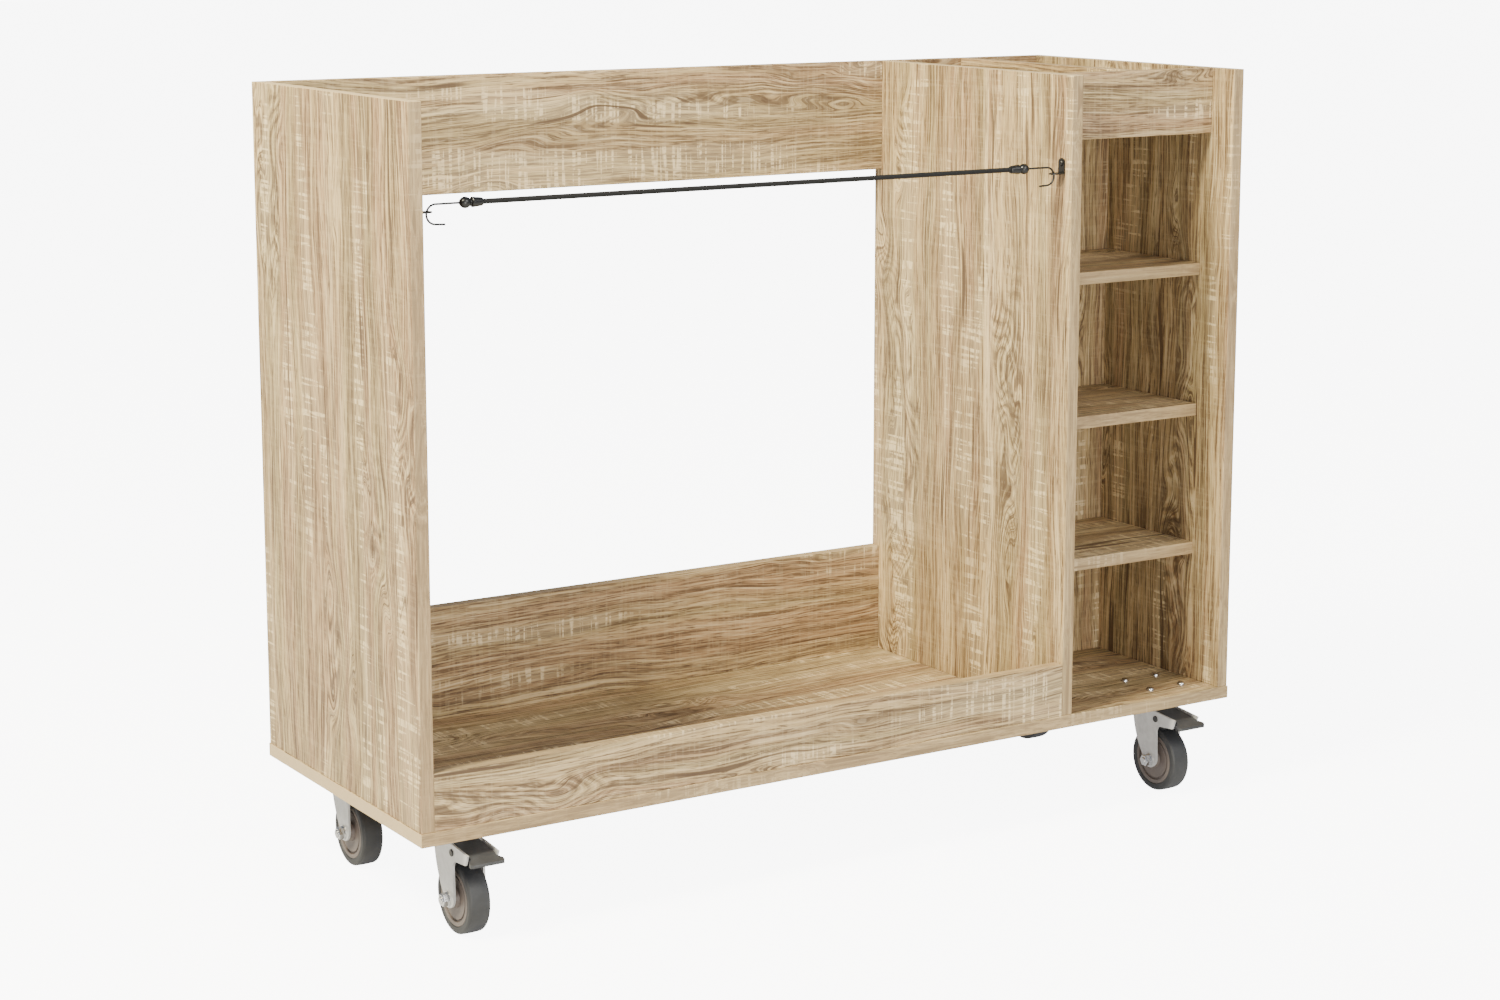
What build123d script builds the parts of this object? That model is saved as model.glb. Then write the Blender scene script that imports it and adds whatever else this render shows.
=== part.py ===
"""Low storage rack on four swivel casters.

A laminated board carcass stands on a base board. An open bay takes up most of the width, with a
low kick rail in front, two rails behind and a stretched elastic cord across its mouth. A narrow
column beside it holds three shelves, a divided open tray on top and an open recess behind.

Frame: X runs along the front, Y from front to back, Z up, in millimetres. The origin is on the
floor, under the middle of the box round the base board and the brake pedals in front of it.
"""

import math
import os

from build123d import *

# ---------------------------------------------------------------- carcass
base_width = 1100.0
base_depth = 400.0
carcass_height = 773.0  # underside of the base board to the top of the uprights
board = 15.0  # thickness of every board
board_inset = 1.0  # the uprights stand this far in from the base board's edges
edge_radius = 0.7  # softened arris of the edge banding
column_width = 228.0  # clear width between the divider and the right side
kick_rail_height = 63.0
back_rail_height = 136.0
tray_rail_height = 78.0
column_recess = 38.0  # the column's front rail sits back from the uprights' front edges
shelf_depth = 179.0
shelf_count = 3

# ---------------------------------------------------------------- board fasteners
dowel_radius = 4.0
dowel_in_upright = 7.0
dowel_in_end = 20.0
rail_dowel_edge = 25.0  # left-bay back rails: from the rail's edge to a dowel
tray_dowel_edge = 45.0  # column back rail: from the rail's edge to a dowel
small_dowel_edge = 16.0  # kick rail, tray rail and partition: from an edge to a dowel
shelf_dowel_edge = 30.0
fit_gap = 0.05  # radial gap round a dowel, a screw or a running pin
screw_radius = 3.2
screw_length = 48.0
screw_head_radius = 5.0
screw_head_depth = 3.2
screw_edge = 60.0  # from an upright's front or back edge to its end screws

# ---------------------------------------------------------------- casters
wheel_radius = 40.0
caster_height = 116.0  # floor to the underside of the base board
wheel_width = 25.0
caster_inset_x = 69.0  # swivel axis to the base board's side edge
caster_inset_front = 61.0
caster_inset_back = 73.0
trail = 18.0  # the axle stands this far in front of the swivel axis
plate_size = 62.0
plate_corner = 6.0
plate_thickness = 2.5
bolt_spacing = 49.0
bolt_radius = 3.0
bolt_head_radius = 5.3
bolt_head_height = 3.3
bolt_nut_flats = 10.0
bolt_nut_height = 5.0
cup_radius = 22.0
cup_thickness = 4.0
skirt_wall = 2.0
ball_radius = 3.0
ball_ring_radius = 15.5
ball_count = 14
race_gap = 5.0  # between the cup's underside and the crown's top
running_gap = 0.3  # between pieces that turn past each other
kingpin_radius = 5.0
kingpin_head_radius = 8.0
kingpin_head_height = 2.0
kingpin_foot_radius = 9.0
kingpin_foot_height = 3.0

fork_sheet = 2.5
fork_inner_width = 33.4
leg_end_radius = 13.5
leg_end_rise = 4.0  # centre of the leg's round end, above the axle
leg_end_forward = 1.0
leg_step = 0.6  # the rear part of each leg is pressed in by this much
leg_step_back = 10.5  # from the axle back to the pressed step
fork_bend_radius = 2.4
fork_notch_radius = 9.0

axle_radius = 4.0
axle_nut_flats = 13.0
axle_nut_height = 7.0
axle_head_height = 5.3
washer_radius = 8.3
washer_thickness = 1.2
axle_end = 1.4  # bolt end that shows past the nut
bush_radius = 6.0
tyre_thickness = 8.7
hub_half_width = 12.0
hub_boss_radius = 10.0
hub_boss_gap = 1.0  # hub boss to each fork leg
hub_rim = 4.7  # width of the hub's outer ring
hub_groove_width = 2.2
hub_groove_depth = 1.8
hub_face_recess = 0.9
tyre_shoulder = 3.2  # radius of the tyre's shoulders
tyre_crown = 0.3  # the tread stands this much prouder at its middle

# ---------------------------------------------------------------- brake pedals
pedal_reach = 17.0  # pedal tip in front of the base board
pedal_half_width = 15.0
pedal_lip_half_width = 20.0
pedal_wall = 3.8
pedal_front_drop = 17.8  # top plate's front, below the base board
pedal_back_drop = 12.8  # top plate's back, below the base board
pedal_pin_back = 31.5  # pivot, from the base board's front edge
pedal_pin_drop = 21.8  # pivot, below the base board
pedal_pin_radius = 2.5
pedal_pin_head_radius = 4.0
pedal_pin_head_height = 1.4
pedal_boss_radius = 5.5
pedal_cam_half_width = 10.0
pedal_cam_tip_radius = 3.0
pedal_travel = 18.0  # degrees, from released to pressed on the tyre
brake_gap = 0.4  # cam to tread when the pedal is down

# ---------------------------------------------------------------- elastic cord
cord_radius = 2.75
cord_drop = 105.7  # cord axis below the uprights' tops
cord_back = 18.9  # cord axis behind the base board's front edge
bracket_width = 11.0
bracket_sheet = 1.6
bracket_above = 10.0  # bracket's top, above the cord axis
bracket_below = 8.4  # lug's underside, below the cord axis
bracket_lug = 18.0
bracket_screw_above = 4.3
bracket_hole_radius = 2.4
bracket_screw_radius = 1.75
bracket_screw_head_radius = 3.3
bracket_screw_head_height = 1.8
bracket_screw_length = 12.0
wire_radius = 1.1
hook_reach = 12.0  # nearest the hook's centreline comes to the upright's face
hook_bend_radius = 10.3
hook_shank_end = 49.5  # where the wire enters the ball end, from the upright's face
hook_tip_length = 11.0
hook_tip_slope = 3.0  # degrees below level
ball_end_radius = 6.0
ball_end_length = 11.6
ferrule_radius = 5.5
ferrule_mouth_radius = 4.4
ferrule_length = 13.0
ferrule_neck_radius = 3.4
ferrule_neck_length = 1.2
ferrule_socket = 8.0
wire_socket = 4.0

# ---------------------------------------------------------------- planes that follow
half_width = base_width / 2
front_y = (pedal_reach - base_depth) / 2
back_y = front_y + base_depth
base_z = caster_height
deck_z = base_z + board
top_z = base_z + carcass_height

upright_front = front_y + board_inset
upright_back = back_y - board_inset
left_x = (-half_width + board_inset, -half_width + board_inset + board)
right_x = (half_width - board_inset - board, half_width - board_inset)
divider_x = (right_x[0] - column_width - board, right_x[0] - column_width)
bay_x = (left_x[1], divider_x[0])
column_x = (divider_x[1], right_x[0])
upright_y = (upright_front, upright_back)
back_rail_y = (upright_back - board, upright_back)
kick_rail_y = (upright_front, upright_front + board)
tray_rail_y = (upright_front + column_recess, upright_front + column_recess + board)
shelf_y = (tray_rail_y[1], tray_rail_y[1] + shelf_depth)
column_back_y = (shelf_y[1], shelf_y[1] + board)
tray_z = top_z - tray_rail_height
tray_y = (tray_rail_y[1], back_rail_y[0])
column_middle = sum(column_x) / 2
partition_x = (column_middle - board / 2, column_middle + board / 2)
upright_z = (deck_z, top_z)
shelf_gap = (tray_z - deck_z - shelf_count * board) / (shelf_count + 1)


def shelf_z(step):
    """Low and high plane of a shelf, counted from the bottom."""
    low = deck_z + shelf_gap + step * (shelf_gap + board)
    return (low, low + board)


boards = {
    "base_panel": ((-half_width, half_width), (front_y, back_y), (base_z, deck_z)),
    "left_side_panel": (left_x, upright_y, upright_z),
    "right_side_panel": (right_x, upright_y, upright_z),
    "divider_panel": (divider_x, upright_y, upright_z),
    "front_kick_rail": (bay_x, kick_rail_y, (deck_z, deck_z + kick_rail_height)),
    "lower_back_rail": (bay_x, back_rail_y, (deck_z, deck_z + back_rail_height)),
    "upper_back_rail": (bay_x, back_rail_y, (top_z - back_rail_height, top_z)),
    "column_back_rail": (column_x, back_rail_y, (top_z - back_rail_height, top_z)),
    "column_front_rail": (column_x, tray_rail_y, (tray_z, top_z)),
    "column_back_panel": (column_x, column_back_y, (deck_z, tray_z)),
    "tray_bottom": (column_x, tray_y, (tray_z, tray_z + board)),
    "tray_partition": (partition_x, tray_y, (tray_z + board, top_z)),
    "bottom_shelf": (column_x, shelf_y, shelf_z(0)),
    "middle_shelf": (column_x, shelf_y, shelf_z(1)),
    "top_shelf": (column_x, shelf_y, shelf_z(2)),
}


def middle(span):
    """Middle of a low and high pair."""
    return (span[0] + span[1]) / 2


# ---------------------------------------------------------------- dowels
# Each dowel: a point on the joint's face, the direction into the board's end, the upright or rail
# that is drilled square to its face, and the board that is drilled in its end.
dowels = []


def dowel_ends(name, left_upright, right_upright, spots):
    """Dowels into both X ends of a board, at the given (y, z) spots."""
    x_span = boards[name][0]
    for y, z in spots:
        dowels.append(((x_span[0], y, z), (1, 0, 0), left_upright, name))
        dowels.append(((x_span[1], y, z), (-1, 0, 0), right_upright, name))


def spots_up_a_rail(name, edge):
    """One spot near the bottom and one near the top of a standing rail."""
    y_span, z_span = boards[name][1:]
    return [(middle(y_span), z_span[0] + edge), (middle(y_span), z_span[1] - edge)]


def spots_along_a_shelf(name, edge):
    """One spot near the front and one near the back of a lying board."""
    y_span, z_span = boards[name][1:]
    return [(y_span[0] + edge, middle(z_span)), (y_span[1] - edge, middle(z_span))]


rail_edges = {
    "front_kick_rail": small_dowel_edge,
    "lower_back_rail": rail_dowel_edge,
    "upper_back_rail": rail_dowel_edge,
}
for rail, edge in rail_edges.items():
    dowel_ends(rail, "left_side_panel", "divider_panel", spots_up_a_rail(rail, edge))

column_spots = {
    "column_back_rail": spots_up_a_rail("column_back_rail", tray_dowel_edge),
    "column_front_rail": spots_up_a_rail("column_front_rail", small_dowel_edge),
    "column_back_panel": spots_up_a_rail("column_back_panel", tray_dowel_edge),
}
for lying in ("tray_bottom", "bottom_shelf", "middle_shelf", "top_shelf"):
    column_spots[lying] = spots_along_a_shelf(lying, shelf_dowel_edge)
for name, spots in column_spots.items():
    dowel_ends(name, "divider_panel", "right_side_panel", spots)

partition_z = boards["tray_partition"][2]
for z in (partition_z[0] + small_dowel_edge, partition_z[1] - small_dowel_edge):
    front_spot = (column_middle, tray_y[0], z)
    back_spot = (column_middle, tray_y[1], z)
    dowels.append((front_spot, (0, 1, 0), "column_front_rail", "tray_partition"))
    dowels.append((back_spot, (0, -1, 0), "column_back_rail", "tray_partition"))

# ---------------------------------------------------------------- screws up through the base
base_screws = []
for upright in ("left_side_panel", "divider_panel", "right_side_panel"):
    upright_middle = middle(boards[upright][0])
    for y in (upright_front + screw_edge, middle(upright_y), upright_back - screw_edge):
        base_screws.append((upright_middle, y, upright))
for rail in ("front_kick_rail", "lower_back_rail"):
    rail_middle = middle(boards[rail][1])
    for share in (0.2, 0.5, 0.8):
        x = bay_x[0] + share * (bay_x[1] - bay_x[0])
        base_screws.append((x, rail_middle, rail))
for x in (column_x[0] + screw_edge, column_x[1] - screw_edge):
    base_screws.append((x, middle(column_back_y), "column_back_panel"))

# ---------------------------------------------------------------- caster places
corners = {
    "front_left": (-half_width + caster_inset_x, front_y + caster_inset_front),
    "front_right": (half_width - caster_inset_x, front_y + caster_inset_front),
    "back_left": (-half_width + caster_inset_x, back_y - caster_inset_back),
    "back_right": (half_width - caster_inset_x, back_y - caster_inset_back),
}
braked = ("front_left", "front_right")

plate_z = base_z - plate_thickness
cup_z = plate_z - cup_thickness
crown_top = cup_z - race_gap
crown_bottom = crown_top - fork_sheet
ball_z = crown_top + race_gap / 2
axle_z = wheel_radius
hub_radius = wheel_radius - tyre_thickness
hub_ring_radius = hub_radius - hub_rim
hub_groove_radius = hub_ring_radius - hub_groove_width
fork_inner = fork_inner_width / 2
fork_outer = fork_inner + fork_sheet

# ---------------------------------------------------------------- cord brackets
cord_y = front_y + cord_back
cord_z = top_z - cord_drop
bracket_faces = {"left": (bay_x[0], 1), "right": (bay_x[1], -1)}  # face, way into the bay

os.makedirs("parts", exist_ok=True)


def save(piece, label):
    """Label a finished piece and write it."""
    piece.label = label
    export_step(piece, f"parts/{label}.step")


def save_group(pieces, label):
    """Write several separate solids as one node."""
    group = Compound(children=pieces)
    group.label = label
    export_step(group, f"parts/{label}.step")


# ---------------------------------------------------------------- boards
def make_board(name):
    """A board with softened edges and the holes of the dowels and screws that reach it."""
    x_span, y_span, z_span = boards[name]
    with BuildPart() as piece:
        with BuildSketch(Plane.XY.offset(z_span[0])):
            with Locations((middle(x_span), middle(y_span))):
                Rectangle(x_span[1] - x_span[0], y_span[1] - y_span[0])
        extrude(amount=z_span[1] - z_span[0])
        fillet(piece.edges(), edge_radius)
        for point, direction, upright, end in dowels:
            if name == upright:
                into = tuple(-part for part in direction)
                with BuildSketch(Plane(origin=point, z_dir=into)):
                    Circle(dowel_radius + fit_gap)
                extrude(amount=dowel_in_upright, mode=Mode.SUBTRACT)
            if name == end:
                with BuildSketch(Plane(origin=point, z_dir=direction)):
                    Circle(dowel_radius + fit_gap)
                extrude(amount=dowel_in_end, mode=Mode.SUBTRACT)
        for x, y, upright in base_screws:
            if name == upright:
                with BuildSketch(Plane.XY.offset(deck_z)):
                    with Locations((x, y)):
                        Circle(screw_radius + fit_gap)
                extrude(amount=screw_length - board, mode=Mode.SUBTRACT)
        for face, way in bracket_faces.values():
            if face in x_span and name in ("left_side_panel", "divider_panel"):
                screw_point = (face, cord_y, cord_z + bracket_screw_above)
                with BuildSketch(Plane(origin=screw_point, z_dir=(-way, 0, 0))):
                    Circle(bracket_screw_radius + fit_gap)
                extrude(amount=bracket_screw_length, mode=Mode.SUBTRACT)
        if name == "base_panel":
            for x, y, _ in base_screws:
                with BuildSketch(Plane.XY.offset(base_z)):
                    with Locations((x, y)):
                        Circle(screw_radius + fit_gap)
                extrude(amount=board, mode=Mode.SUBTRACT)
                with BuildSketch(Plane.XY.offset(base_z)):
                    with Locations((x, y)):
                        Circle(screw_head_radius + fit_gap)
                extrude(amount=screw_head_depth, mode=Mode.SUBTRACT)
            for x, y in corners.values():
                with BuildSketch(Plane.XY.offset(base_z)):
                    with Locations((x, y)):
                        with GridLocations(bolt_spacing, bolt_spacing, 2, 2):
                            Circle(bolt_radius + fit_gap)
                extrude(amount=board, mode=Mode.SUBTRACT)
    save(piece.part, name)


def make_dowel(point, direction):
    """A glued hardwood dowel with chamfered ends, across a joint."""
    start = tuple(p - dowel_in_upright * d for p, d in zip(point, direction))
    with BuildPart() as dowel:
        with BuildSketch(Plane(origin=start, z_dir=direction)):
            Circle(dowel_radius)
        extrude(amount=dowel_in_upright + dowel_in_end)
        chamfer(dowel.edges().filter_by(GeomType.CIRCLE), 0.8)
    return dowel.part


def make_base_screw(x, y):
    """A flat-headed chipboard screw, driven up from under the base board."""
    with BuildPart() as screw:
        with BuildSketch(Plane.XY.offset(base_z)):
            with Locations((x, y)):
                Circle(screw_head_radius)
                RegularPolygon(radius=2.3, side_count=6, mode=Mode.SUBTRACT)
        extrude(amount=screw_head_depth)
        with BuildSketch(Plane.XY.offset(base_z + screw_head_depth)):
            with Locations((x, y)):
                Circle(screw_radius)
        extrude(amount=screw_length - screw_head_depth)
    return screw.part


# ---------------------------------------------------------------- caster pieces
def make_caster_bolt(x, y):
    """A domed button-head bolt down through the base board and the caster plate."""
    shank = board + plate_thickness + bolt_nut_height + 1.0
    with BuildPart() as bolt:
        with BuildSketch(Plane.XY.offset(deck_z)):
            with Locations((x, y)):
                Circle(bolt_head_radius)
        extrude(amount=bolt_head_height)
        fillet(bolt.edges().group_by(Axis.Z)[-1], bolt_head_height - 0.3)
        with BuildSketch(Plane.XY.offset(deck_z - shank)):
            with Locations((x, y)):
                Circle(bolt_radius)
        extrude(amount=shank)
    with BuildPart() as nut:
        with BuildSketch(Plane.XY.offset(plate_z - bolt_nut_height)):
            with Locations((x, y)):
                RegularPolygon(bolt_nut_flats / 2, 6, major_radius=False)
                Circle(bolt_radius + fit_gap, mode=Mode.SUBTRACT)
        extrude(amount=bolt_nut_height)
    return [bolt.part, nut.part]


def make_caster_plate(corner, x, y):
    """Top plate with four bolt holes, and the pressed cup that holds the upper ball race."""
    with BuildPart() as plate:
        with BuildSketch(Plane.XY.offset(plate_z)):
            with Locations((x, y)):
                RectangleRounded(plate_size, plate_size, plate_corner)
                with GridLocations(bolt_spacing, bolt_spacing, 2, 2):
                    Circle(bolt_radius + fit_gap, mode=Mode.SUBTRACT)
        extrude(amount=plate_thickness)
        with BuildSketch(Plane.XY.offset(cup_z)):
            with Locations((x, y)):
                Circle(cup_radius)
        extrude(amount=cup_thickness)
        with BuildSketch(Plane.XY.offset(crown_top + running_gap)):
            with Locations((x, y)):
                Circle(cup_radius)
                Circle(cup_radius - skirt_wall, mode=Mode.SUBTRACT)
        extrude(amount=race_gap - running_gap)
        with BuildSketch(Plane.XY.offset(base_z - kingpin_head_height)):
            with Locations((x, y)):
                Circle(kingpin_head_radius + fit_gap)
        extrude(amount=kingpin_head_height, mode=Mode.SUBTRACT)
        with BuildSketch(Plane.XY.offset(cup_z)):
            with Locations((x, y)):
                Circle(kingpin_radius + fit_gap)
        extrude(amount=plate_thickness + cup_thickness, mode=Mode.SUBTRACT)
        with Locations((x, y, ball_z)):
            Torus(ball_ring_radius, ball_radius + fit_gap, mode=Mode.SUBTRACT)
    save(plate.part, f"{corner}_caster_plate")


def make_kingpin(x, y):
    """The rivet that the fork swivels on."""
    foot_z = crown_bottom - running_gap - kingpin_foot_height
    with BuildPart() as kingpin:
        with BuildSketch(Plane.XY.offset(foot_z)):
            with Locations((x, y)):
                Circle(kingpin_foot_radius)
        extrude(amount=kingpin_foot_height)
        with BuildSketch(Plane.XY.offset(foot_z)):
            with Locations((x, y)):
                Circle(kingpin_radius)
        extrude(amount=base_z - foot_z)
        with BuildSketch(Plane.XY.offset(base_z - kingpin_head_height)):
            with Locations((x, y)):
                Circle(kingpin_head_radius)
        extrude(amount=kingpin_head_height)
    return kingpin.part


def make_race_balls(corner, x, y):
    """The ring of balls between the cup and the fork's crown."""
    with BuildPart() as balls:
        with Locations((x, y, ball_z)):
            with PolarLocations(ball_ring_radius, ball_count):
                Sphere(ball_radius)
    save(balls.part, f"{corner}_race_balls")


def leg_outline(y, with_arm):
    """Side outline of a fork leg, in world Y and Z, closed. The leg narrows down to the axle;
    a braked fork has an arm in front, between its top edge and a rounded notch."""
    axle_y = y - trail
    end_y = axle_y - leg_end_forward
    end_z = axle_z + leg_end_rise
    rear_top = (y + 15.0, crown_top)
    rear_shoulder = (y + 13.5, base_z - 25.0)
    rear_curve = (y + 5.6, base_z - 53.0)
    rear_end = (end_y + leg_end_radius, end_z)
    low_point = (end_y, end_z - leg_end_radius)
    front_end = (end_y - leg_end_radius, end_z)
    crown_front = (y - 21.0, crown_top)
    Line(rear_top, rear_shoulder)
    ThreePointArc(rear_shoulder, rear_curve, rear_end)
    ThreePointArc(rear_end, low_point, front_end)
    if with_arm:
        notch = (axle_y - 12.8, base_z - 30.2)
        arm_bottom = (front_y + 0.6, base_z - 27.5)
        arm_top = (front_y - 4.6, base_z - 16.0)
        FilletPolyline(front_end, notch, arm_bottom, radius=fork_notch_radius)
        Polyline(arm_bottom, arm_top, crown_front, rear_top)
    else:
        front_shoulder = (axle_y - 13.2, base_z - 22.0)
        Polyline(front_end, front_shoulder, crown_front, rear_top)


def make_fork(corner, x, y):
    """Pressed steel fork: a crown with a ball track and two legs, each with a pressed step."""
    with_arm = corner in braked
    axle_y = y - trail
    side = Plane(origin=(x - fork_outer, 0, 0), x_dir=(0, 1, 0), z_dir=(1, 0, 0))
    with BuildPart() as fork:
        with BuildSketch(side):
            with BuildLine():
                leg_outline(y, with_arm)
            make_face()
        extrude(amount=2 * fork_outer)
        bends = fork.edges().filter_by(Axis.Y).group_by(Axis.Z)[-1]
        fillet(bends, fork_bend_radius)
        with BuildSketch(Plane.XY.offset(crown_top - fork_sheet)):
            with Locations((x, y)):
                Circle(cup_radius)
        extrude(amount=fork_sheet)
        # Open the space between the legs, under the crown and all the way up in front of it.
        with BuildSketch(Plane(origin=(x - fork_inner, 0, 0), x_dir=(0, 1, 0), z_dir=(1, 0, 0))):
            with BuildLine():
                Polyline(
                    (y + 40.0, 0),
                    (y + 40.0, crown_bottom),
                    (y - 21.0, crown_bottom),
                    (y - 21.0, base_z),
                    (y - 100.0, base_z),
                    (y - 100.0, 0),
                    close=True,
                )
            make_face()
        extrude(amount=fork_inner_width, mode=Mode.SUBTRACT)
        # Press the rear part of both legs in.
        for face, way in ((x - fork_outer, 1), (x + fork_outer, -1)):
            step_x = (1, 0, 0) if way > 0 else (-1, 0, 0)
            step_plane = Plane(origin=(face, 0, 0), x_dir=(0, 1, 0), z_dir=step_x)
            step_y = axle_y + leg_step_back
            span = (crown_bottom - 5.0) - (axle_z + 3.0)
            up = 1 if step_plane.y_dir.Z > 0 else -1
            with BuildSketch(step_plane):
                with Locations((step_y + 15.0, up * (axle_z + 3.0 + span / 2))):
                    Rectangle(30.0, span)
            extrude(amount=leg_step, mode=Mode.SUBTRACT)
        with BuildSketch(side):
            with Locations((axle_y, axle_z)):
                Circle(axle_radius + fit_gap)
            if with_arm:
                with Locations((front_y + pedal_pin_back, base_z - pedal_pin_drop)):
                    Circle(pedal_pin_radius + fit_gap)
        extrude(amount=2 * fork_outer, mode=Mode.SUBTRACT)
        with BuildSketch(Plane.XY.offset(crown_bottom)):
            with Locations((x, y)):
                Circle(kingpin_radius + fit_gap)
        extrude(amount=fork_sheet, mode=Mode.SUBTRACT)
        with Locations((x, y, ball_z)):
            Torus(ball_ring_radius, ball_radius + fit_gap, mode=Mode.SUBTRACT)
    save(fork.part, f"{corner}_swivel_fork")


def axle_plane(x, y, offset):
    """Plane square to the axle, at a distance along it from the wheel's middle."""
    return Plane(origin=(x + offset, y - trail, axle_z), x_dir=(0, 1, 0), z_dir=(1, 0, 0))


def make_axle_set(corner, x, y):
    """Axle bolt, its lock nut and a washer under each."""
    nut_face = -fork_outer - washer_thickness
    head_face = fork_outer + washer_thickness
    bolt_end = nut_face - axle_nut_height - axle_end
    with BuildPart() as bolt:
        with BuildSketch(axle_plane(x, y, bolt_end)):
            Circle(axle_radius)
        extrude(amount=head_face - bolt_end)
        chamfer(bolt.faces().sort_by(Axis.X)[0].edges(), 0.7)
        with BuildSketch(axle_plane(x, y, head_face)):
            RegularPolygon(axle_nut_flats / 2, 6, major_radius=False)
        extrude(amount=axle_head_height)
    with BuildPart() as nut:
        with BuildSketch(axle_plane(x, y, nut_face - axle_nut_height)):
            RegularPolygon(axle_nut_flats / 2, 6, major_radius=False)
            Circle(axle_radius + fit_gap, mode=Mode.SUBTRACT)
        extrude(amount=axle_nut_height)
        chamfer(nut.faces().sort_by(Axis.X)[0].outer_wire().edges(), 0.9)
    washers = []
    for offset in (nut_face, fork_outer):
        with BuildPart() as washer:
            with BuildSketch(axle_plane(x, y, offset)):
                Circle(washer_radius)
                Circle(axle_radius + fit_gap, mode=Mode.SUBTRACT)
            extrude(amount=washer_thickness)
        washers.append(washer.part)
    save_group([bolt.part, nut.part, *washers], f"{corner}_axle_bolt")


def make_bush(corner, x, y):
    """Plain bearing sleeve, clamped between the fork's legs."""
    with BuildPart() as bush:
        with BuildSketch(axle_plane(x, y, -fork_inner)):
            Circle(bush_radius)
            Circle(axle_radius + fit_gap, mode=Mode.SUBTRACT)
        extrude(amount=fork_inner_width)
    save(bush.part, f"{corner}_wheel_bush")


def make_hub(corner, x, y):
    """Moulded wheel centre: a boss, a face with a ring groove, and the seat of the tyre."""
    boss_x = fork_inner - hub_boss_gap
    bore = bush_radius + fit_gap
    face_x = hub_half_width - hub_face_recess
    groove_x = face_x - hub_groove_depth
    half = [
        (bore, 0),
        (bore, boss_x),
        (hub_boss_radius, boss_x),
        (hub_boss_radius + 1.5, face_x - 0.6),
        (hub_groove_radius - 0.8, face_x),
        (hub_groove_radius, groove_x),
        (hub_ring_radius - 0.4, groove_x),
        (hub_ring_radius, hub_half_width - 0.3),
        (hub_radius - 0.8, hub_half_width),
        (hub_radius, hub_half_width - 0.6),
        (hub_radius, 0),
    ]
    with BuildPart() as hub:
        with BuildSketch(Plane(origin=(x, y - trail, axle_z), x_dir=(0, 0, 1), z_dir=(0, -1, 0))):
            with BuildLine():
                Polyline(*half, close=True)
            make_face()
            mirror(about=Plane.XZ)
        revolve(axis=Axis((x, y - trail, axle_z), (1, 0, 0)))
    save(hub.part, f"{corner}_wheel_hub")


def make_tyre(corner, x, y):
    """Rubber tyre with round shoulders and a slightly crowned tread."""
    half = wheel_width / 2
    tread_x = half - tyre_shoulder
    tread_r = wheel_radius - tyre_crown
    inner_x = hub_half_width - 0.6
    bend = tyre_shoulder * math.sqrt(0.5)
    with BuildPart() as tyre:
        with BuildSketch(Plane(origin=(x, y - trail, axle_z), x_dir=(0, 0, 1), z_dir=(0, -1, 0))):
            with BuildLine():
                Polyline(
                    (hub_radius, 0),
                    (hub_radius, inner_x),
                    (hub_radius + 0.8, half - 0.2),
                    (tread_r - tyre_shoulder, half),
                )
                ThreePointArc(
                    (tread_r - tyre_shoulder, half),
                    (tread_r - tyre_shoulder + bend, tread_x + bend),
                    (tread_r, tread_x),
                )
                Polyline((tread_r, tread_x), (wheel_radius, tread_x / 3), (wheel_radius, 0))
                Line((wheel_radius, 0), (hub_radius, 0))
            make_face()
            mirror(about=Plane.XZ)
        revolve(axis=Axis((x, y - trail, axle_z), (1, 0, 0)))
    save(tyre.part, f"{corner}_tyre")


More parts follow.
